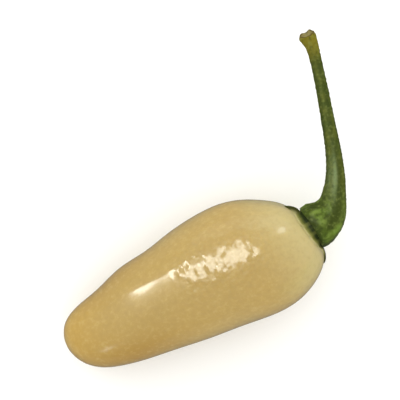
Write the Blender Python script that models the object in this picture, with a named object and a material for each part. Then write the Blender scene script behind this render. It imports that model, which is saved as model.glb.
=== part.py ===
"""A white habanero pepper as picked, lying on its side on a small flat of its belly.

+X runs along the pod from its tip to its calyx, +Y is the side that the stem bends to, +Z is up.
The origin is the middle of the flat that the pod lies on. Metres.
"""

import bmesh
import bpy
import numpy as np

MM = 0.001
GAP = 0.3 * MM  # between one piece and the next

# Pod and stem are rings carried along a line. Each row is one ring, in millimetres and degrees:
# x, y and z of its centre, its radius, its turn from +X towards +Y, and its rise from level.
POD_RINGS = (
    (17.45, 0.15, 11.25, 0.00, 12, 6),  # under the middle of the calyx
    (17.60, 0.15, 11.25, 2.40, 12, 6),
    (17.80, 0.15, 11.25, 3.90, 12, 6),  # crest of the shoulder
    (17.25, 0.15, 11.20, 5.30, 12, 6),
    (14.45, 0.00, 10.80, 7.90, 11, 6),
    (10.40, -0.05, 10.20, 9.75, 8, 6),
    (4.50, 0.05, 9.80, 10.15, 4, 6),  # widest
    (-1.80, -0.10, 9.13, 9.55, 1, 6),
    (-7.50, -0.50, 8.45, 8.65, 0, 6),
    (-13.00, -0.80, 7.85, 7.90, 0, 6),
    (-18.50, -1.40, 7.05, 6.65, 0, 6),
    (-23.00, -1.30, 6.40, 5.05, 0, 6),
    (-25.30, -0.95, 6.15, 3.15, 0, 6),
    (-26.35, -0.80, 6.05, 0.00, 0, 6),  # tip
)
POD_STEPS, POD_SIDES = 44, 52
LOBES, LOBE_DEPTH, LOBE_AT = 3, 0.015, np.radians(84)  # soft lobes along the pod, one near its top

STEM_RINGS = (
    (18.95, 0.30, 11.40, 3.30, 12, 6),  # the crease above the calyx
    (19.85, 0.45, 11.50, 3.70, 12, 5),  # the swollen base
    (21.30, 0.80, 11.70, 3.35, 18, 4),
    (22.80, 1.65, 11.90, 2.75, 30, 2),
    (24.20, 3.50, 12.05, 2.05, 50, 0),
    (25.50, 5.95, 12.00, 1.65, 66, -3),
    (27.65, 12.50, 11.10, 1.20, 73, -10),
    (29.75, 21.00, 9.10, 1.00, 77, -14),
    (30.75, 26.60, 7.65, 1.05, 80, -14),
    (31.02, 28.60, 7.15, 1.28, 82, -14),
    (31.12, 29.40, 6.95, 1.48, 82, -14),
    (31.22, 30.10, 6.78, 1.20, 82, -14),  # the torn end
)
STEM_STEPS, STEM_SIDES = 40, 20
RIBS, RIB_DEPTH, RIB_AT = 5, 0.035, np.radians(70)  # the stem is slightly five-sided
TEAR_DEPTH = 0.2 * MM  # how unevenly the rim of the torn end stands
DISH_DEPTH, DISH_SHARE = 0.4 * MM, 0.6  # the torn end's hollow: its depth, and its share of the radius

CALYX_RIM = 4.1 * MM  # from the middle of the calyx to its rim, along the pod's skin
CALYX_THICK, TOOTH_THICK = 0.45 * MM, 0.25 * MM
CALYX_SIDES = 72
# Each tooth's place round the calyx in degrees, 0 at +Y and 90 on top, and its length in millimetres.
TEETH = ((8, 1.5), (70, 0.45), (128, 0.9), (187, 2.3), (270, 0.8))
TOOTH_HALF = np.radians(17)  # half of a tooth's width at its root


def spline(knots, rows, first_slope, last_slope, places):
    """Cubic curve through the rows at the knots, with the given slopes at its ends, read at the places."""
    step = np.diff(knots)
    rate = np.diff(rows, axis=0) / step[:, None]
    matrix = np.eye(len(knots))
    target = np.zeros_like(rows)
    target[0], target[-1] = first_slope, last_slope
    for i in range(1, len(knots) - 1):
        before, after = step[i - 1], step[i]
        matrix[i, i - 1 : i + 2] = after, 2 * (before + after), before
        target[i] = 3 * (after * rate[i - 1] + before * rate[i])
    slope = np.linalg.solve(matrix, target)
    i = np.clip(np.searchsorted(knots, places, side="right") - 1, 0, len(step) - 1)
    h = step[i][..., None]
    u = (places - knots[i])[..., None] / h
    return (
        rows[i] * (1 + 2 * u) * (1 - u) ** 2
        + rows[i + 1] * u**2 * (3 - 2 * u)
        + h * slope[i] * u * (1 - u) ** 2
        - h * slope[i + 1] * u**2 * (1 - u)
    )


def ring_table(rings):
    """The rings in metres and radians, and how far along the piece's outline each one is."""
    rows = np.array(rings, dtype=float)
    rows[:, :4] *= MM
    rows[:, 4:] = np.radians(rows[:, 4:])
    hops = np.linalg.norm(np.diff(rows[:, :4], axis=0), axis=1)
    return rows, np.concatenate(([0.0], np.cumsum(hops)))


def facing(rows):
    """The level and the upward direction within each ring, and the direction that it faces."""
    turn, rise = rows[..., 4], rows[..., 5]
    level = np.stack((-np.sin(turn), np.cos(turn), np.zeros_like(turn)), axis=-1)
    ahead = np.stack(
        (np.cos(rise) * np.cos(turn), np.cos(rise) * np.sin(turn), np.sin(rise)), axis=-1
    )
    return level, np.cross(ahead, level), ahead


def ring_points(rows, radius, angle):
    """Centre plus radius at the angle round each ring: 0 is level on its +Y side, a quarter turn is up."""
    level, up, _ = facing(rows)
    outward = np.cos(angle)[..., None] * level + np.sin(angle)[..., None] * up
    return rows[..., :3] + radius[..., None] * outward


POD_TABLE, POD_KNOTS = ring_table(POD_RINGS)
POD_LENGTH = POD_KNOTS[-1]


def pod_skin(distance, angle):
    """Points of the pod's skin, at a distance from the middle of its calyx end and an angle round it.

    The radius opens from a point and closes to one, so the skin is square to the axis at both ends.
    Three soft lobes swell it between them.
    """
    opening = np.array((0, 0, 0, 1, 0, 0))
    rows = spline(POD_KNOTS, POD_TABLE, opening, -opening, distance)
    fade = np.sin(np.pi * np.clip(distance / POD_LENGTH, 0, 1)) ** 2
    lobes = 1 + LOBE_DEPTH * fade * np.cos(LOBES * (angle - LOBE_AT))
    return ring_points(rows, rows[..., 3] * lobes, angle)


def above_skin(distance, angle, height):
    """Points at a height over the pod's skin, along its normal, found by small steps along and round it."""
    small, small_turn = 0.02 * MM, 0.01
    along = pod_skin(distance + small, angle) - pod_skin(distance - small, angle)
    across = pod_skin(distance, angle + small_turn) - pod_skin(distance, angle - small_turn)
    normal = np.cross(along, across)
    normal /= np.linalg.norm(normal, axis=-1, keepdims=True)
    return pod_skin(distance, angle) + height * normal


def around(sides):
    return np.arange(sides) * 2 * np.pi / sides


def closed_loft(name, first, rings, last, colour, roughness):
    """One closed and smooth object: a point, the rings in order and a point, joined by faces."""
    count, sides = rings.shape[:2]
    points = np.concatenate((first[None], rings.reshape(-1, 3), last[None]))
    index = 1 + np.arange(count * sides).reshape(count, sides)
    beside = np.roll(index, -1, axis=1)
    quads = np.stack((index[:-1], index[1:], beside[1:], beside[:-1]), axis=-1).reshape(-1, 4)
    fans = [(0, i, j) for i, j in zip(index[0], beside[0])]
    fans += [(len(points) - 1, j, i) for i, j in zip(index[-1], beside[-1])]
    faces = quads.tolist() + [tuple(int(v) for v in fan) for fan in fans]
    mesh = bpy.data.meshes.new(name)
    mesh.from_pydata(points.tolist(), [], faces)
    shape = bmesh.new()
    shape.from_mesh(mesh)
    bmesh.ops.recalc_face_normals(shape, faces=shape.faces)
    shape.to_mesh(mesh)
    shape.free()
    mesh.shade_smooth()
    mesh.materials.append(plain_finish(name, colour, roughness))
    piece = bpy.data.objects.new(name, mesh)
    bpy.context.collection.objects.link(piece)
    return piece


def plain_finish(name, colour, roughness):
    material = bpy.data.materials.new(name)
    material.use_nodes = True
    surface = material.node_tree.nodes["Principled BSDF"]
    surface.inputs["Base Color"].default_value = (*colour, 1.0)
    surface.inputs["Roughness"].default_value = roughness
    return material


def make_pod():
    """The fruit, pressed flat where its belly meets the surface."""
    distance = np.linspace(0, POD_LENGTH, POD_STEPS + 2)[:, None]
    points = pod_skin(distance, around(POD_SIDES)[None, :])
    points[..., 2] = np.maximum(points[..., 2], 0.0)
    closed_loft("pod", points[0, 0], points[1:-1], points[-1, 0], (0.62, 0.42, 0.17), 0.3)


def calyx_edge(angle):
    """How far the calyx reaches along the skin at an angle round it: its rim, and its pointed teeth."""
    edge = np.full_like(angle, CALYX_RIM)
    for place, length in TEETH:
        away = np.abs((angle - np.radians(place) + np.pi) % (2 * np.pi) - np.pi)
        edge += length * MM * np.clip(1 - away / TOOTH_HALF, 0, 1) ** 1.3
    return edge


def make_calyx():
    """The saucer: its underside follows the skin, its teeth lie along it, and its collar ends in a flat."""
    angle = around(CALYX_SIDES)
    edge = calyx_edge(angle)
    under = above_skin(np.outer((0.35, 0.7, 0.97), edge), angle, GAP)
    lip = above_skin(edge, angle, GAP + TOOTH_THICK / 2)
    over = above_skin(0.97 * edge, angle, GAP + TOOTH_THICK)
    shelf = above_skin(np.full_like(angle, 0.93 * CALYX_RIM), angle, GAP + CALYX_THICK)
    crease = ring_table(STEM_RINGS)[0][:1]
    crease[:, :3] -= GAP * facing(crease)[2]
    neck = ring_points(crease, crease[:, 3], angle)
    collar = [shelf + share * (neck - shelf) for share in (0.35, 0.7)]
    rings = np.stack((*under, lip, over, shelf, *collar, neck))
    middle = POD_TABLE[0, :3] + GAP * facing(POD_TABLE[0])[2]
    closed_loft("calyx", middle, rings, crease[0, :3], (0.10, 0.16, 0.03), 0.5)


def make_stem():
    """The pedicel: swollen and bent above the calyx, then slim, with a dished and torn end."""
    rows, knots = ring_table(STEM_RINGS)
    first_slope = (rows[1] - rows[0]) / (knots[1] - knots[0])
    last_slope = (rows[-1] - rows[-2]) / (knots[-1] - knots[-2])
    angle = around(STEM_SIDES)
    along = spline(knots, rows, first_slope, last_slope, np.linspace(0, knots[-1], STEM_STEPS))
    radius = along[:, None, 3] * (1 + RIB_DEPTH * np.cos(RIBS * (angle - RIB_AT)))
    rings = ring_points(along[:, None], radius, angle)
    ahead = facing(rows[-1])[2]
    rings[-1] += TEAR_DEPTH * (np.sin(2 * angle) + np.cos(3 * angle))[:, None] / 2 * ahead
    middle = rows[-1, :3] - DISH_DEPTH * ahead
    dish = middle + DISH_SHARE * (ring_points(rows[-1], radius[-1], angle) - rows[-1, :3])
    rings = np.concatenate((rings, dish[None]))
    closed_loft("stem", rows[0, :3], rings, middle, (0.09, 0.15, 0.04), 0.5)


def main():
    for item in list(bpy.data.objects):
        bpy.data.objects.remove(item)
    make_pod()
    make_calyx()
    make_stem()


main()
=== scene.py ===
"""The finish of a white habanero lying on its side: a waxy pod, a leafy calyx and a ribbed green stem.

Metres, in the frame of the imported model: +X from the tip to the calyx, +Y to where the stem bends, +Z up.
The pod's rings are those of its solid and the stem's are nearly so. All finer relief is laid on them here.
"""

import bpy
import numpy as np
from mathutils import Matrix, Vector


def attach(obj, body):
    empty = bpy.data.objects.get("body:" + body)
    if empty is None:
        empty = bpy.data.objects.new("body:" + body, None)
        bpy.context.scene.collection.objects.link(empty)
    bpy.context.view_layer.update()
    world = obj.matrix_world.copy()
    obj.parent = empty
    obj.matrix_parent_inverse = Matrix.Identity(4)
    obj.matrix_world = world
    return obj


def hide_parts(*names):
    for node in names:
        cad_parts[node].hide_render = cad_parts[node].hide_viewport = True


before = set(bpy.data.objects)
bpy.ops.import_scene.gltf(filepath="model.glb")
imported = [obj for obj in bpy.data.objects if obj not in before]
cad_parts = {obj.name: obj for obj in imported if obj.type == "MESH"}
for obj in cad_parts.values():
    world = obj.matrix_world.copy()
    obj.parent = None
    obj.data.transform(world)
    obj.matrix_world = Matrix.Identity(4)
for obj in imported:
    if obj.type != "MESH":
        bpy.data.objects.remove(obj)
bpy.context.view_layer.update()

MM = 0.001
FULL_TURN = 2 * np.pi

# Each row is a ring: x, y and z of its centre and its radius in mm, then its turn from +X towards +Y and its
# rise from level, both in degrees.
POD_RINGS = (
    (17.45, 0.15, 11.25, 0.00, 12, 6),
    (17.60, 0.15, 11.25, 2.40, 12, 6),
    (17.80, 0.15, 11.25, 3.90, 12, 6),
    (17.25, 0.15, 11.20, 5.30, 12, 6),
    (14.45, 0.00, 10.80, 7.90, 11, 6),
    (10.40, -0.05, 10.20, 9.75, 8, 6),
    (4.50, 0.05, 9.80, 10.15, 4, 6),
    (-1.80, -0.10, 9.13, 9.55, 1, 6),
    (-7.50, -0.50, 8.45, 8.65, 0, 6),
    (-13.00, -0.80, 7.85, 7.90, 0, 6),
    (-18.50, -1.40, 7.05, 6.65, 0, 6),
    (-23.00, -1.30, 6.40, 5.05, 0, 6),
    (-25.30, -0.95, 6.15, 3.15, 0, 6),
    (-26.35, -0.80, 6.05, 0.00, 0, 6),
)
# How many lobes the pod has, their depth as a share of its radius, and where one has its crest.
LOBES, LOBE_DEPTH, LOBE_AT = 3, 0.015, np.radians(84)

# From the lip of the swollen base, which laps over the calyx, round the bend and up to the flare at the tear.
STEM_RINGS = (
    (18.72, 0.28, 11.38, 3.62, 12, 6),
    (19.75, 0.44, 11.49, 3.78, 12, 5),
    (21.30, 0.80, 11.70, 3.35, 18, 4),
    (22.80, 1.65, 11.90, 2.75, 30, 2),
    (24.06, 3.56, 12.05, 2.08, 50, 0),
    (25.36, 6.02, 12.00, 1.66, 66, -3),
    (27.54, 12.55, 11.10, 1.20, 73, -10),
    (29.64, 21.05, 9.10, 1.00, 77, -14),
    (30.84, 26.58, 7.65, 1.02, 80, -14),
    (31.00, 27.85, 7.33, 1.14, 81, -14),
    (30.98, 28.75, 7.12, 1.34, 82, -14),
    (30.97, 29.45, 6.97, 1.44, 82, -14),
    (31.00, 29.95, 6.86, 1.28, 82, -14),
)
# The same for the stem's ribs.
RIBS, RIB_DEPTH, RIB_AT = 5, 0.035, np.radians(70)

# How far out along the skin the calyx reaches between its teeth, and where its leaf starts to rise as a neck.
CALYX_RIM = 4.2 * MM
NECK_FOOT = 3.9 * MM

# Each row is a tooth of the calyx: its place round it in degrees, its length in mm and its half width in
# degrees.
TEETH = (
    (12, 1.5, 24),
    (72, 0.2, 14),
    (130, 0.35, 14),
    (187, 2.3, 18),
    (270, 0.8, 17),
)
# The low fold of the calyx: its place round it and how far it stands off the skin.
FOLD_AT = np.radians(8)
FOLD_HEIGHT = 0.5 * MM

# Each row is a bump or a dent of the stem: mm from its lip, degrees round it, half length in mm, half width
# in degrees and height in mm.
LUMPS = (
    (0.0, 0, 0.9, 20, 0.2),
    (2.0, 56, 1.4, 6, 0.2),
    (1.7, 66, 0.9, 5, -0.1),
    (2.2, 91, 1.1, 12, 0.2),
    (3.7, 77, 1.0, 10, -0.2),
    (1.6, 118, 1.0, 12, -0.12),
    (5.0, 131, 3.5, 9, 0.09),
    (9.0, 84, 4.0, 15, -0.05),
    (3.0, 225, 1.8, 16, 0.12),
    (2.6, 300, 1.5, 15, 0.12),
)
# The height that counts as 1 where the painted highlight on the stem's bumps and the painted shade in its
# dents follow its lumps.
LUMP_HEIGHT = 0.2 * MM


def spline(knots, rows, first_slope, last_slope, places):
    """Cubic curve through the rows at the knots, with the given slopes at its ends, read at the places.

    The slopes at the other knots are those that let its bending run on smoothly. Between two knots, each row
    and each slope counts by its cubic weight of the share of the way.
    """
    step = np.diff(knots)
    rate = np.diff(rows, axis=0) / step[:, None]
    matrix = np.eye(len(knots))
    target = np.zeros_like(rows)
    target[0] = first_slope
    target[-1] = last_slope
    for i in range(1, len(knots) - 1):
        before, after = step[i - 1], step[i]
        matrix[i, i - 1 : i + 2] = after, 2 * (before + after), before
        target[i] = 3 * (after * rate[i - 1] + before * rate[i])
    slope = np.linalg.solve(matrix, target)
    i = np.clip(np.searchsorted(knots, places, side="right") - 1, 0, len(step) - 1)
    h = step[i][..., None]
    u = (places - knots[i])[..., None] / h
    return (
        rows[i] * (1 + 2 * u) * (1 - u) ** 2
        + rows[i + 1] * u**2 * (3 - 2 * u)
        + h * slope[i] * u * (1 - u) ** 2
        - h * slope[i + 1] * u**2 * (1 - u)
    )


def ring_table(rings):
    """The rings in metres and radians, and how far along the piece's outline each one is.

    The distance is the sum of the hops from ring to ring, in the three coordinates and the radius together.
    """
    rows = np.array(rings, dtype=float)
    rows[:, :4] *= MM
    rows[:, 4:] = np.radians(rows[:, 4:])
    hops = np.linalg.norm(np.diff(rows[:, :4], axis=0), axis=1)
    return rows, np.concatenate(([0.0], np.cumsum(hops)))


def facing(rows):
    """The level and the upward direction within each ring, and the direction ahead that it faces.

    Ahead follows from the turn and the rise, level is square to its heading, and upward is square to both.
    """
    turn, rise = rows[..., 4], rows[..., 5]
    level = np.stack((-np.sin(turn), np.cos(turn), np.zeros_like(turn)), axis=-1)
    ahead = np.stack(
        (np.cos(rise) * np.cos(turn), np.cos(rise) * np.sin(turn), np.sin(rise)), axis=-1
    )
    return level, np.cross(ahead, level), ahead


def ring_points(rows, radius, angle):
    """Centre plus radius at the angle round each ring: 0 is level on its +Y side, a quarter turn is up."""
    level, up, _ = facing(rows)
    outward = np.cos(angle)[..., None] * level + np.sin(angle)[..., None] * up
    return rows[..., :3] + radius[..., None] * outward


POD_TABLE, POD_KNOTS = ring_table(POD_RINGS)
POD_LENGTH = POD_KNOTS[-1]
STEM_TABLE, STEM_KNOTS = ring_table(STEM_RINGS)
STEM_LENGTH = STEM_KNOTS[-1]
STEM_LIP, STEM_END = STEM_TABLE[0], STEM_TABLE[-1]


def pod_skin(distance, angle):
    """The pod of the solids: rings that open from a point and close to one, swollen by three soft lobes.

    A lobe is a cosine round the pod, a share of the radius, that fades to nothing at both ends as a squared
    sine.
    """
    opening = np.array((0, 0, 0, 1, 0, 0))
    rows = spline(POD_KNOTS, POD_TABLE, opening, -opening, distance)
    fade = np.sin(np.pi * np.clip(distance / POD_LENGTH, 0, 1)) ** 2
    lobes = 1 + LOBE_DEPTH * fade * np.cos(LOBES * (angle - LOBE_AT))
    return ring_points(rows, rows[..., 3] * lobes, angle)


def skin_normal(distance, angle):
    """Outward direction of the pod's skin: the cross product of small steps along it and round it."""
    small, small_turn = 0.02 * MM, 0.01
    along = pod_skin(distance + small, angle) - pod_skin(distance - small, angle)
    across = pod_skin(distance, angle + small_turn) - pod_skin(distance, angle - small_turn)
    normal = np.cross(along, across)
    return normal / np.linalg.norm(normal, axis=-1, keepdims=True)


def ripple(points, size, seed, count=48):
    """Smooth random relief of about unit height: many plane waves of nearly one length, in all directions."""
    random = np.random.default_rng(seed)
    direction = random.normal(size=(count, 3))
    direction /= np.linalg.norm(direction, axis=1, keepdims=True)
    length = size * random.uniform(0.75, 1.3, count)
    start = random.uniform(0, FULL_TURN, count)
    waves = np.sin(points @ (direction * FULL_TURN / length[:, None]).T + start)
    return waves.sum(axis=-1) * np.sqrt(2 / count)


def round_trip(angle):
    """The unit circle's point at each angle, so that a relief read there meets itself after a full turn."""
    return np.stack((np.cos(angle), np.sin(angle), np.zeros_like(angle)), axis=-1)


def bell(value, middle, width):
    """A smooth bump of height 1 at the middle: e to the minus square of how many widths away the value is."""
    return np.exp(-(((value - middle) / width) ** 2))


def step_up(value, start, end):
    """Smooth step from 0 at the start to 1 at the end: three squares of the share less two cubes."""
    share = np.clip((value - start) / (end - start), 0, 1)
    return share * share * (3 - 2 * share)


def turn_between(angle, place):
    """How far apart two angles are the short way round, from 0 to half a turn, in radians."""
    return np.abs((angle - place + np.pi) % FULL_TURN - np.pi)


def near(angle, place, width):
    """A bell round the piece: 1 at the place, fading over the width on either side, all in radians."""
    return bell(turn_between(angle, place), 0, width)


def skin_mesh(name, first, rings, last, **values):
    """A closed and smooth piece: a point, rings in order and a point, joined by faces that point outwards.

    Each value is a grid with one number for each point of the rings, kept as an attribute of the mesh.
    """
    count, sides = rings.shape[:2]
    points = np.concatenate((first[None], rings.reshape(-1, 3), last[None]))
    index = 1 + np.arange(count * sides).reshape(count, sides)
    beside = np.roll(index, -1, axis=1)
    quads = np.stack((index[:-1], index[1:], beside[1:], beside[:-1]), axis=-1).reshape(-1, 4)
    first_fan = np.stack((np.zeros(sides, int), index[0], beside[0]), axis=-1)
    last_fan = np.stack((np.full(sides, len(points) - 1), beside[-1], index[-1]), axis=-1)
    corners = np.concatenate((quads.ravel(), first_fan.ravel(), last_fan.ravel()))
    sizes = np.concatenate((np.full(len(quads), 4), np.full(2 * sides, 3)))
    starts = np.concatenate(([0], np.cumsum(sizes)[:-1]))
    mesh = bpy.data.meshes.new(name)
    mesh.vertices.add(len(points))
    mesh.vertices.foreach_set("co", points.ravel())
    mesh.loops.add(len(corners))
    mesh.loops.foreach_set("vertex_index", corners.astype(np.int32))
    mesh.polygons.add(len(sizes))
    mesh.polygons.foreach_set("loop_start", starts.astype(np.int32))
    mesh.update(calc_edges=True)
    mesh.validate()
    mesh.shade_smooth()
    for key, grid in values.items():
        whole = np.broadcast_to(grid, (count, sides))
        flat = np.concatenate(([whole[0].mean()], whole.ravel(), [whole[-1].mean()]))
        mesh.attributes.new(key, "FLOAT", "POINT").data.foreach_set("value", flat)
    piece = bpy.data.objects.new(name, mesh)
    bpy.context.scene.collection.objects.link(piece)
    return piece


# The pod

POD_STEPS, POD_SIDES = 236, 400


def make_pod():
    """The pod of the solids, moved along its normals by relief that is far smaller than the pod.

    Broad swells and a slight fullness of the back; shallow puckers down the shoulder from the calyx; a patch
    of fine wrinkles on the back of the thick half, with a crease wherever a random relief passes zero, and
    almost none elsewhere; and a dimple at the tip. The belly is level where it rests. The attributes say how
    near a point is to the calyx (pale), to the tip (warm), to the tip's two flanks, riper orange and with
    painted shade there (ripe), to the patch (wrinkled), to the scar in the dimple (scar) and to the bottom of
    a pucker (furrow).
    """
    distance = np.linspace(0, POD_LENGTH, POD_STEPS + 2)[:, None]
    from_tip = POD_LENGTH - distance
    angle = (np.arange(POD_SIDES) * FULL_TURN / POD_SIDES)[None, :]
    skin = pod_skin(distance, angle)
    along = skin[..., 0]

    swell = 0.05 * MM * ripple(skin, 10 * MM, 3)
    swell += 0.2 * MM * bell(along, -7.5 * MM, 4 * MM) * near(angle, np.radians(80), 0.8)
    shoulder = step_up(distance, 3 * MM, 7 * MM) * (1 - step_up(distance, 8 * MM, 17 * MM))
    pucker = ripple(round_trip(angle), 0.9, 4) * shoulder

    patch = step_up(along, -6.5 * MM, -3 * MM) * (1 - step_up(along, 8 * MM, 13 * MM))
    patch = patch * near(angle, np.radians(82), 0.5)
    crosswise = skin * (1.0, 0.75, 0.75)
    crease = bell(ripple(crosswise, 1.6 * MM, 5), 0, 0.4)
    wrinkle = (0.001 + 0.029 * patch) * MM * ripple(crosswise, 1.6 * MM, 17)
    wrinkle -= (0.001 + 0.012 * patch) * MM * crease
    wrinkle += (0.001 + 0.005 * patch) * MM * ripple(skin, 0.85 * MM, 6)

    dimple = -0.22 * MM * bell(from_tip, 0, 0.75 * MM) + 0.05 * MM * bell(from_tip, 1.3 * MM, 0.5 * MM)
    inside = step_up(distance, 0, 3 * MM) * step_up(from_tip, 0, 1.2 * MM)
    height = inside * (swell + 0.07 * MM * pucker + wrinkle) + dimple
    off_the_poles = np.clip(distance, 0.03 * MM, POD_LENGTH - 0.03 * MM)
    points = skin + height[..., None] * skin_normal(off_the_poles, angle)
    points[..., 2] = np.maximum(points[..., 2], 0.0)

    # Riper orange on the tip's two flanks, and painted shade there too.
    ripe = near(angle, np.radians(150), 0.6) + 0.7 * near(angle, np.radians(15), 0.5)
    ripe = ripe * bell(along, -17 * MM, 9 * MM)
    return skin_mesh(
        "pod_skin",
        points[0].mean(axis=0),
        points[1:-1],
        points[-1].mean(axis=0),
        pale=(1 - step_up(distance, 3 * MM, 17 * MM))[1:-1],
        warm=step_up(distance, 0.70 * POD_LENGTH, 0.98 * POD_LENGTH)[1:-1],
        ripe=ripe[1:-1],
        wrinkled=patch[1:-1],
        scar=bell(from_tip, 0, 0.5 * MM)[1:-1],
        furrow=np.clip(-pucker, 0, 1)[1:-1],
    )


# The calyx

CALYX_SIDES = 360


def calyx_edge(angle):
    """How far the calyx reaches along the skin: its rim, its pointed teeth, and a slightly uneven edge.

    A tooth rises to its length as the share of its half width that is left, to the power 1.3.
    """
    edge = np.full_like(angle, CALYX_RIM)
    for place, length, half in TEETH:
        away = turn_between(angle, np.radians(place))
        edge += length * MM * np.clip(1 - away / np.radians(half), 0, 1) ** 1.3
    return edge + 0.06 * MM * ripple(round_trip(angle), 0.35, 8)


def lip_lift(angle):
    """How far the stem's lip stands off its first ring: forward above and below, back on its -Y side.

    A share of the angle's squared sine and one of its cosine, less a little.
    """
    return MM * (0.59 * np.sin(angle) ** 2 + 0.3 * np.cos(angle) - 0.2)


def make_calyx():
    """A thin leaf laid on the skin from its edge inwards, that curves up as a neck into the stem's base.

    Rings lie over the skin at a share of the way from the edge to the neck's foot. The leaf thickens inwards
    from its edge, as one less a falling exponential, and near the tooth on its +Y side it stands off the skin
    as a low fold. The neck follows a quadratic curve from its foot to the stem's lip, with a plait above each
    tooth, and closes there. The attributes are how far out a point is (reach, from 0 at the lip to 1 at the
    edge), tooth and rib.
    """
    angle = np.arange(CALYX_SIDES) * FULL_TURN / CALYX_SIDES
    edge = calyx_edge(angle)

    def over(distance, height):
        """The skin's point at the distance, moved along its normal by the height."""
        return pod_skin(distance, angle) + height[..., None] * skin_normal(distance, angle)

    rib = sum(near(angle, np.radians(place), 0.13) for place, _, _ in TEETH)
    rib = rib + 0.5 * ripple(round_trip(angle), 0.25, 9)
    everywhere = np.ones(CALYX_SIDES)
    under = over(np.outer((0.2, 0.5, 0.8, 0.97), edge), np.full((4, CALYX_SIDES), -0.05 * MM))

    share = np.linspace(0, 1, 12)[:, None]
    distance = edge + share * (NECK_FOOT - edge)
    inward = edge - distance
    tooth = np.clip((edge - CALYX_RIM) / MM, 0, 1)
    thickness = 0.03 * MM + (0.12 + 0.2 * tooth) * MM * (1 - np.exp(-inward / (0.3 * MM)))
    fold = FOLD_HEIGHT * near(angle, FOLD_AT, np.radians(22))
    thickness = thickness + fold * step_up(inward, 0.2 * MM, 2 * MM)
    leaf = over(distance, thickness + 0.05 * MM * rib * step_up(inward, 0, 0.8 * MM))

    ahead = facing(STEM_LIP)[2]
    bend = over(NECK_FOOT - 0.45 * MM * everywhere, 0.2 * MM + fold)
    top = ring_points(STEM_LIP, STEM_LIP[3] - 0.06 * MM * everywhere, angle)
    top += lip_lift(angle)[:, None] * ahead
    climb = np.linspace(0, 1, 15)[1:, None, None]
    neck = (1 - climb) ** 2 * leaf[-1] + 2 * climb * (1 - climb) * bend + climb**2 * top
    plait = 0.08 * MM * rib[:, None] * 4 * climb * (1 - climb)
    neck += plait * ahead

    reach = np.concatenate((np.ones((4, 1)), 1 - 0.4 * share, 0.6 * (1 - climb[..., 0]))) * everywhere
    return skin_mesh(
        "calyx_leaf",
        POD_TABLE[0, :3],
        np.concatenate((under, leaf, neck)),
        STEM_LIP[:3] + 0.2 * MM * ahead,
        reach=reach,
        tooth=tooth * step_up(reach, 0.05, 0.35),
        rib=np.clip(rib, 0, 1)[None, :],
    )


# The stem

STEM_STEPS, STEM_SIDES = 320, 120
FIBRES = 21
TEAR_AT = np.radians(80)


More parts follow.
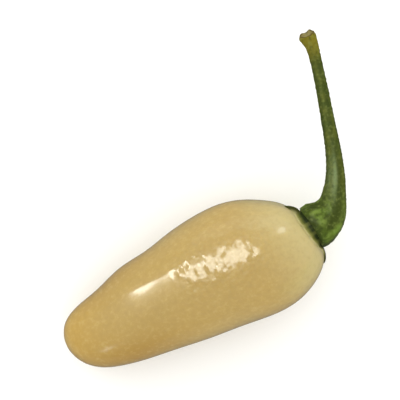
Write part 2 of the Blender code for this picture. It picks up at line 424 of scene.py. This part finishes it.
def make_stem():
    """The rings in fine steps, with five soft ribs, fine fibres, lumps and folds on the base and a torn end.

    A rib and a fibre are cosines round the stem that wander slowly along it. The torn end is cut on a slant,
    low on the side at TEAR_AT, and its rim is ragged. Rings inside the rim lead down to a shallow hollow of
    pith. The attributes say where the stem is swollen (base); raised or dented (raised), which sets a painted
    highlight on the bumps and painted shade in the dents; at the crease by its lip, for painted shade there
    (groove); between two ribs or on a side, for painted shade (valley); along its top above the bend, for a
    painted highlight (bloom); fresh; in a band below the tear, for painted shade (dusk); yellow; and at its
    rim and its pith (rim and cut).
    """
    angle = (np.arange(STEM_SIDES) * FULL_TURN / STEM_SIDES)[None, :]
    distance = np.linspace(0, STEM_LENGTH, STEM_STEPS)[:, None]
    first_slope = (STEM_TABLE[1] - STEM_TABLE[0]) / (STEM_KNOTS[1] - STEM_KNOTS[0])
    last_slope = (STEM_TABLE[-1] - STEM_TABLE[-2]) / (STEM_KNOTS[-1] - STEM_KNOTS[-2])
    rows = spline(STEM_KNOTS, STEM_TABLE, first_slope, last_slope, distance)

    swirl = 0.6 * ripple(np.broadcast_to(distance[..., None], (STEM_STEPS, 1, 3)), 16 * MM, 10)
    ribbing = np.cos(RIBS * (angle - RIB_AT) + swirl)
    ribbed = rows[..., 3] * (1 + RIB_DEPTH * ribbing)
    plain = ring_points(rows, ribbed, angle)
    base = 1 - step_up(distance, 3 * MM, 9 * MM)
    fold = ripple(plain * (0.8, 1.0, 1.0), 2.6 * MM, 11)
    lumps = np.zeros_like(ribbed)
    for place, turn, half_length, half_width, height in LUMPS:
        across = near(angle, np.radians(turn), np.radians(half_width))
        lumps += height * MM * bell(distance, place * MM, half_length * MM) * across
    folds = lumps + base * 0.04 * MM * fold
    fibre = np.cos(FIBRES * angle + 2.2 * ripple(plain, 9 * MM, 13))
    fine = 0.016 * MM * fibre + 0.020 * MM * ripple(plain, 0.7 * MM, 14)
    rings = ring_points(rows, ribbed + folds + fine, angle)
    lifted = (1 - step_up(distance, 0, 2.5 * MM)) * lip_lift(angle)
    rings = rings + lifted[..., None] * facing(STEM_LIP)[2]

    ahead = facing(STEM_END)[2]
    torn = step_up(distance, STEM_LENGTH - 1.4 * MM, STEM_LENGTH)
    slant = -0.8 * np.cos(angle - TEAR_AT) + 0.08 * ripple(round_trip(angle), 0.8, 15)
    rings = rings + (torn * slant)[..., None] * MM * ahead
    hollow = STEM_END[:3] - 0.3 * MM * ahead
    share = np.linspace(0, 1, 10)[1:-1, None, None]
    pith = rings[-1] + share * (hollow - rings[-1])
    pith += (np.sin(np.pi * share) * 0.12 * MM) * ripple(pith, 0.7 * MM, 16)[..., None] * ahead
    inner = step_up(share[..., 0], 0.05, 0.3)

    # Painted shade in the crease at the lip, deepest on its -Y side.
    groove = bell(distance, 0, 0.8 * MM) * (0.55 + 0.45 * near(angle, np.radians(135), 0.7))
    # Painted shade on the two sides of the upper stem; with the ribbing's valleys it makes the painted shade
    # between the ribs.
    sides = np.cos(angle) ** 6 * step_up(distance, 6 * MM, 12 * MM)
    # A pale band along the top above the bend and on the upper flank: a painted highlight.
    top = near(angle, np.radians(86), np.radians(12))
    flank = near(angle, np.radians(50), np.radians(25))
    bloom = bell(distance, 10.2 * MM, 3.3 * MM) * (0.7 * top + 0.3 * flank)
    # Painted shade in a band below the tear, deeper on one side.
    dusk = bell(distance, 0.83 * STEM_LENGTH, 0.04 * STEM_LENGTH)
    dusk = dusk * (0.5 + 0.5 * near(angle, np.radians(150), 1.0))

    def grid(outside, within=0.0):
        """A value on the stem's outside and another on its pith, as one grid over all the rings."""
        outer_rings = np.broadcast_to(outside, (STEM_STEPS, STEM_SIDES))
        pith_rings = np.broadcast_to(within, (len(pith), STEM_SIDES))
        return np.concatenate((outer_rings, pith_rings))

    return skin_mesh(
        "stem_body",
        STEM_LIP[:3] + 0.25 * MM * facing(STEM_LIP)[2],
        np.concatenate((rings, pith)),
        hollow,
        base=grid(base),
        raised=grid(lumps / LUMP_HEIGHT),
        groove=grid(groove),
        # Painted shade between the ribs and on the two sides.
        valley=grid(np.clip(0.5 - 0.5 * ribbing + 0.7 * sides, 0, 1.2)),
        bloom=grid(bloom),
        fresh=grid(1 - step_up(distance, 9 * MM, 15 * MM)),
        dusk=grid(dusk),
        yellow=grid(step_up(distance, 0.79 * STEM_LENGTH, 0.97 * STEM_LENGTH), 1.0),
        rim=grid(step_up(distance, STEM_LENGTH - 0.3 * MM, STEM_LENGTH), 1 - inner),
        cut=grid(0.0, inner),
    )


# Finishes

# The places of a colour mix's sockets, as several of them have the same name.
MIX_SHARE, MIX_UNDER, MIX_OVER, MIX_COLOUR = 0, 6, 7, 2


def srgb(code):
    """Linear colour of an sRGB hex value, by the sRGB standard's curve."""
    value = np.array([int(code[i : i + 2], 16) for i in (0, 2, 4)]) / 255
    linear = np.where(value <= 0.04045, value / 12.92, ((value + 0.055) / 1.055) ** 2.4)
    return (*linear.tolist(), 1.0)


def per(size_mm):
    """A texture scale, in repeats a metre, from the size of its grain in millimetres."""
    return 1 / (size_mm * MM)


def add(tree, kind, inputs, output=0, **settings):
    """A node with its settings and its inputs, each a value or the socket that feeds it. Gives an output."""
    node = tree.nodes.new("ShaderNode" + kind)
    for key, value in settings.items():
        setattr(node, key, value)
    for key, value in inputs.items():
        if isinstance(value, bpy.types.NodeSocket):
            tree.links.new(value, node.inputs[key])
        else:
            node.inputs[key].default_value = value
    return node.outputs[output]


def finish(piece, name, build, **constants):
    """A Principled material of the given constants, whose nodes the build function makes.

    That function gives a first colour, then colours to lay over it in turn, each by its share, and any other
    links.
    """
    material = bpy.data.materials.new(name)
    material.use_nodes = True
    tree = material.node_tree
    surface = tree.nodes["Principled BSDF"]
    for key, value in constants.items():
        surface.inputs[key.replace("_", " ")].default_value = value
    colour, layers, links = build(tree)
    colour = srgb(colour)
    for share, over in layers:
        sockets = {MIX_SHARE: share, MIX_UNDER: colour, MIX_OVER: srgb(over)}
        colour = add(tree, "Mix", sockets, MIX_COLOUR, data_type="RGBA")
    if layers:
        tree.links.new(colour, surface.inputs["Base Color"])
    else:
        surface.inputs["Base Color"].default_value = colour
    for key, socket in links.items():
        tree.links.new(socket, surface.inputs[key])
    piece.data.materials.append(material)


def waxy_skin(tree):
    """Ripe pod skin, which grew as a thin and smooth cuticle of wax over cloudy flesh.

    It gives the eye a cream that is greener and paler by the calyx and warmer at the tip, flecks under the
    wax, and a clear gloss that breaks up where the skin has begun to wrinkle. The clouds are 8 mm wide, the
    flecks 0.9 mm and the wrinkles 1.2 to 1.3 mm. The skin's own grain is that of its cells, under 0.1 mm.
    That is too fine to show, so it is drawn at 0.55 mm.
    """
    where = add(tree, "TexCoord", {}, "Object")
    broad = add(tree, "TexNoise", {"Vector": where, "Scale": per(8.0), "Detail": 1.0})
    fleck = add(tree, "TexNoise", {"Vector": where, "Scale": per(0.9), "Detail": 3.0, "Roughness": 0.7})
    pore = add(tree, "TexNoise", {"Vector": where, "Scale": per(0.55), "Detail": 2.0})
    dark = add(tree, "MapRange", {"Value": fleck, "From Min": 0.48, "From Max": 0.75, "To Max": 0.25})
    light = add(tree, "MapRange", {"Value": fleck, "From Min": 0.48, "From Max": 0.25, "To Max": 0.4})
    pale = add(tree, "Attribute", {}, "Fac", attribute_name="pale")
    warm = add(tree, "Attribute", {}, "Fac", attribute_name="warm")
    ripe = add(tree, "Attribute", {}, "Fac", attribute_name="ripe")
    scar = add(tree, "Attribute", {}, "Fac", attribute_name="scar")
    furrow = add(tree, "Attribute", {}, "Fac", attribute_name="furrow")
    greened = add(tree, "Math", {0: furrow, 1: 0.4}, operation="MULTIPLY")
    wrinkled = add(tree, "Attribute", {}, "Fac", attribute_name="wrinkled")
    cell = add(tree, "TexVoronoi", {"Vector": where, "Scale": per(1.3)}, feature="DISTANCE_TO_EDGE")
    plump = add(tree, "MapRange", {"Value": cell, "From Max": 0.25}, interpolation_type="SMOOTHSTEP")
    relief = add(tree, "Math", {0: plump, 1: wrinkled}, operation="MULTIPLY")
    fold = add(tree, "TexNoise", {"Vector": where, "Scale": per(1.2), "Detail": 1.0})
    ruffle = add(tree, "Math", {0: fold, 1: wrinkled}, operation="MULTIPLY")
    crease = add(tree, "Bump", {"Height": relief, "Strength": 1.0, "Distance": 0.04 * MM})
    ruffled = add(tree, "Bump", {"Height": ruffle, "Strength": 1.0, "Distance": 0.33 * MM, "Normal": crease})
    bump = add(tree, "Bump", {"Height": pore, "Strength": 0.3, "Distance": 0.01 * MM, "Normal": ruffled})
    roughness = {"Value": fleck, "From Min": 0.3, "From Max": 0.7, "To Min": 0.3, "To Max": 0.42}
    gloss = add(tree, "MapRange", roughness)
    layers = (
        (broad, "ba9d5a"),
        (pale, "c3b47d"),
        (warm, "bd9a4c"),
        # Riper orange, and painted shade, on the tip's two flanks.
        (ripe, "a7833a"),
        (greened, "bdb072"),
        (dark, "9e8247"),
        (light, "cab276"),
        (scar, "6b4e26"),
    )
    return "b09557", layers, {"Normal": bump, "Roughness": gloss}


def dry_leaf(tree):
    """Calyx tissue, a leaf that grew over the pod's shoulder and dries from its edge inwards.

    It gives the eye a dull dark green by the stem, darkest at the top of the neck, where it is also painted
    shade of the crease under the stem's lip, olive and then tan on its skirt, pale at the edge, with faint
    veins and dark teeth. Its grain is 0.7 mm.
    """
    where = add(tree, "TexCoord", {}, "Object")
    fleck = add(tree, "TexNoise", {"Vector": where, "Scale": per(0.7), "Detail": 3.0})
    reach = add(tree, "Attribute", {}, "Fac", attribute_name="reach")
    tooth = add(tree, "Attribute", {}, "Fac", attribute_name="tooth")
    rib = add(tree, "Attribute", {}, "Fac", attribute_name="rib")
    olive = add(tree, "MapRange", {"Value": reach, "From Min": 0.12, "From Max": 0.32})
    tan = add(tree, "MapRange", {"Value": reach, "From Min": 0.3, "From Max": 0.48})
    edge = add(tree, "MapRange", {"Value": reach, "From Min": 0.45, "From Max": 0.65})
    vein = add(tree, "Math", {0: rib, 1: 0.3}, operation="MULTIPLY")
    bump = add(tree, "Bump", {"Height": fleck, "Strength": 0.5, "Distance": 0.05 * MM})
    layers = (
        (olive, "5f6228"),
        (tan, "8a864a"),
        (edge, "bdb47c"),
        (vein, "6f7034"),
        (tooth, "383a10"),
    )
    # The first colour, the darkest green at the top of the neck, is also painted shade of the crease under
    # the stem's lip.
    return "222d08", layers, {"Normal": bump}


def green_stem(tree):
    """Fresh stem, which grew in fibres under a thin skin, and tore off its branch.

    It gives the eye a satin green, mottled on the swollen base and olive up the stalk, yellow near the tear,
    a brown rim and pale pith, and over these painted light and shade: a pale highlight along the top above
    the bend and on the bumps, and shade on the sides, between the ribs, in the dents, in the crease at the
    lip and in a band below the tear. The mottling is 2.2 mm wide. The skin's own grain is under 0.1 mm.
    That is too fine to show, so it is drawn at 0.55 mm.
    """
    where = add(tree, "TexCoord", {}, "Object")
    cloud = add(tree, "TexNoise", {"Vector": where, "Scale": per(2.2), "Detail": 3.0})
    fleck = add(tree, "TexNoise", {"Vector": where, "Scale": per(0.55), "Detail": 3.0})
    patchy = add(tree, "MapRange", {"Value": cloud, "From Min": 0.4, "From Max": 0.65})
    speck = add(tree, "MapRange", {"Value": fleck, "From Min": 0.53, "From Max": 0.7, "To Max": 0.4})
    spot = add(tree, "MapRange", {"Value": fleck, "From Min": 0.47, "From Max": 0.3, "To Max": 0.5})
    base = add(tree, "Attribute", {}, "Fac", attribute_name="base")
    leafy = add(tree, "Math", {0: base, 1: patchy}, operation="MULTIPLY")
    # Painted shade between the ribs and on the sides.
    valley = add(tree, "Attribute", {}, "Fac", attribute_name="valley")
    shaded = add(tree, "Math", {0: valley, 1: 0.55}, operation="MULTIPLY")
    raised = add(tree, "Attribute", {}, "Fac", attribute_name="raised")
    # Painted highlight on the bumps of the base, painted shade in its dents.
    ridge = add(tree, "MapRange", {"Value": raised, "From Min": 0.1, "From Max": 1.0, "To Max": 0.6})
    hollow = add(tree, "MapRange", {"Value": raised, "From Min": -0.1, "From Max": -0.7, "To Max": 0.7})
    # Painted shade in the crease at the lip.
    groove = add(tree, "Attribute", {}, "Fac", attribute_name="groove")
    # Painted highlight along the top above the bend.
    bloom = add(tree, "Attribute", {}, "Fac", attribute_name="bloom")
    misty = add(tree, "Math", {0: bloom, 1: 0.75}, operation="MULTIPLY")
    yellow = add(tree, "Attribute", {}, "Fac", attribute_name="yellow")
    # Painted shade in a band below the tear.
    dusk = add(tree, "Attribute", {}, "Fac", attribute_name="dusk")
    dulled = add(tree, "Math", {0: dusk, 1: 0.7}, operation="MULTIPLY")
    cut = add(tree, "Attribute", {}, "Fac", attribute_name="cut")
    frayed = add(tree, "Math", {0: cut, 1: fleck}, operation="MULTIPLY")
    rim = add(tree, "Attribute", {}, "Fac", attribute_name="rim")
    browned = add(tree, "Math", {0: rim, 1: 0.8}, operation="MULTIPLY")
    fresh = add(tree, "Attribute", {}, "Fac", attribute_name="fresh")
    gloss = add(tree, "MapRange", {"Value": fresh, "To Min": 0.6, "To Max": 0.46})
    bump = add(tree, "Bump", {"Height": fleck, "Strength": 0.5, "Distance": 0.03 * MM})
    layers = (
        (patchy, "555b19"),
        (leafy, "607a27"),
        # Painted light and shade: shade between the ribs and on the sides, a highlight on the bumps, shade in
        # the dents and in the crease at the lip, and a highlight along the top.
        (shaded, "323d0a"),
        (ridge, "778a3a"),
        (hollow, "43550f"),
        (groove, "2b370a"),
        (misty, "87996b"),
        (yellow, "736a12"),
        # Painted shade in a band below the tear.
        (dulled, "36420a"),
        (speck, "717b3c"),
        (spot, "333f0c"),
        (cut, "6b602f"),
        (frayed, "948b58"),
        (browned, "4f3d1f"),
    )
    return "434e14", layers, {"Normal": bump, "Roughness": gloss}


pod = make_pod()
calyx = make_calyx()
stem = make_stem()
# Flesh lets red and yellow light spread about a millimetre, and blue a third of that.
SKIN_GLOW = (1.0, 0.75, 0.35)
# Moist flesh, of IOR 1.4, under a coat of wax. The coat's IOR is above wax's 1.45, for the bright gloss seen.
finish(
    pod,
    "waxy_pod_skin",
    waxy_skin,
    IOR=1.4,
    Coat_Weight=1.0,
    Coat_Roughness=0.14,
    Coat_IOR=1.6,
    Subsurface_Weight=0.3,
    Subsurface_Scale=1.1 * MM,
    Subsurface_Radius=SKIN_GLOW,
)
finish(calyx, "dry_calyx_leaf", dry_leaf, Roughness=0.6, Specular_IOR_Level=0.1)
finish(stem, "green_stem", green_stem, Specular_IOR_Level=0.12)
for piece, node, slot in (
    (pod, "pod", "pod_skin"),
    (calyx, "calyx", "calyx_green"),
    (stem, "stem", "stem_green"),
):
    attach(piece, "root")
    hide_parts(node)


# Stage, light and camera

VIEW_TURN = np.radians(24)
VIEW_MIDDLE = Vector((3.68, 11.99, 9.0)) * MM
VIEW_WIDTH = 66 * MM
CAMERA_AWAY = 500 * MM
POD_BACK = Vector((0, 3, 18)) * MM

# Metres: half of the floor's side, how far it lies under the belly, and how far off the windows stand.
FLOOR_HALF = 1.5
FLOOR_UNDER = 0.02 * MM
WINDOW_AWAY = 0.5

# A linear white that leans to green, and the radiance of the room all round.
LAMP_COLOUR = (0.97, 1.0, 0.94)
SKY_STRENGTH = 1.25


def lay_floor():
    """A plain square of matt white paper, just under the belly, that the gloss doesn't mirror."""
    around = ((-1, -1), (1, -1), (1, 1), (-1, 1))
    corners = [(x * FLOOR_HALF, y * FLOOR_HALF, -FLOOR_UNDER) for x, y in around]
    mesh = bpy.data.meshes.new("floor")
    mesh.from_pydata(corners, [], [(0, 1, 2, 3)])
    floor = bpy.data.objects.new("floor", mesh)
    floor.visible_glossy = False
    bpy.context.scene.collection.objects.link(floor)
    finish(floor, "matt_white_paper", lambda tree: ("fcfcfa", (), {}), Roughness=0.9)


def soft_light(name, towards, away, along, width, length, brightness, mirrored=True, lighting=True):
    """A panel that faces the pod's back, its length near a given direction, of the given radiance.

    Its distance, width and length are in metres. It shows in the gloss where it is mirrored, and falls on the
    colours where it is lighting. Its power is its radiance times pi times its area.
    """
    lamp = bpy.data.lights.new(name, "AREA")
    lamp.shape, lamp.size, lamp.size_y = "RECTANGLE", width, length
    lamp.energy = brightness * np.pi * width * length
    lamp.color = LAMP_COLOUR
    backward = Vector(towards).normalized()
    side = Vector(along).cross(backward).normalized()
    axes = Matrix((side, backward.cross(side), backward)).transposed().to_4x4()
    panel = bpy.data.objects.new(name, lamp)
    panel.matrix_world = Matrix.Translation(POD_BACK + away * backward) @ axes
    panel.visible_glossy = mirrored
    panel.visible_diffuse = lighting
    bpy.context.scene.collection.objects.link(panel)


def light_stage():
    """Windows that show in the gloss alone, and soft light from all round that gives the colours.

    The low and the wide window stand on the stem's side, one above the other, and their mirror images make
    the long highlight on the pod's back. The right one makes the glint by the calyx and the left one that at
    the tip. The pale room all round lights the colours and isn't mirrored.
    """
    low = (-0.503, 0.590, 0.632)
    wide = (-0.155, 0.31, 0.94)
    right = (0.80, 0.50, 0.32)
    left = (-0.70, -0.65, 0.29)
    soft_light("low_window", low, WINDOW_AWAY, (0.06, -0.67, 0.74), 0.028, 0.22, 18, lighting=False)
    soft_light("wide_window", wide, WINDOW_AWAY, (0.95, 0.30, 0.04), 0.35, 0.345, 5.6, lighting=False)
    soft_light("right_window", right, WINDOW_AWAY, (0, -0.62, 0.78), 0.05, 0.11, 4.2, lighting=False)
    soft_light("left_window", left, WINDOW_AWAY, (0, 0, 1), 0.06, 0.10, 2.4, lighting=False)
    soft_light("pale_wall", (0.35, 0.9, 0.12), 1.0, (0.93, -0.36, 0), 0.5, 1.6, 0.45)
    soft_light("side_sky", (0, 0.95, 0.3), 1.2, (1, 0, 0), 2.0, 2.0, 0.46, mirrored=False)
    soft_light("floor_glow", (0, 0, -1), 0.4, (1, 0, 0), 4.0, 4.0, 0.2)
    soft_light("low_fill", (0.6, -0.65, 0.4), 1.2, (1, 0, 0), 1.5, 1.5, 0.2, mirrored=False)
    world = bpy.data.worlds.new("pale_room")
    bpy.context.scene.world = world
    world.use_nodes = True
    sky = world.node_tree.nodes["Background"]
    sky.inputs["Color"].default_value = (1.0, 1.0, 1.0, 1.0)
    sky.inputs["Strength"].default_value = SKY_STRENGTH
    world.cycles_visibility.glossy = False


def aim_camera():
    """Straight down on the pod, turned so that it lies as in the photograph."""
    lens = bpy.data.cameras.new("camera")
    lens.sensor_width = 36
    lens.lens = lens.sensor_width * CAMERA_AWAY / VIEW_WIDTH
    lens.clip_start, lens.clip_end = 0.01, 10
    camera = bpy.data.objects.new("camera", lens)
    camera.location = VIEW_MIDDLE + Vector((0, 0, CAMERA_AWAY))
    camera.rotation_euler = (0, 0, -VIEW_TURN)
    bpy.context.scene.collection.objects.link(camera)
    bpy.context.scene.camera = camera


lay_floor()
light_stage()
aim_camera()
bpy.context.scene.view_settings.view_transform = "Standard"
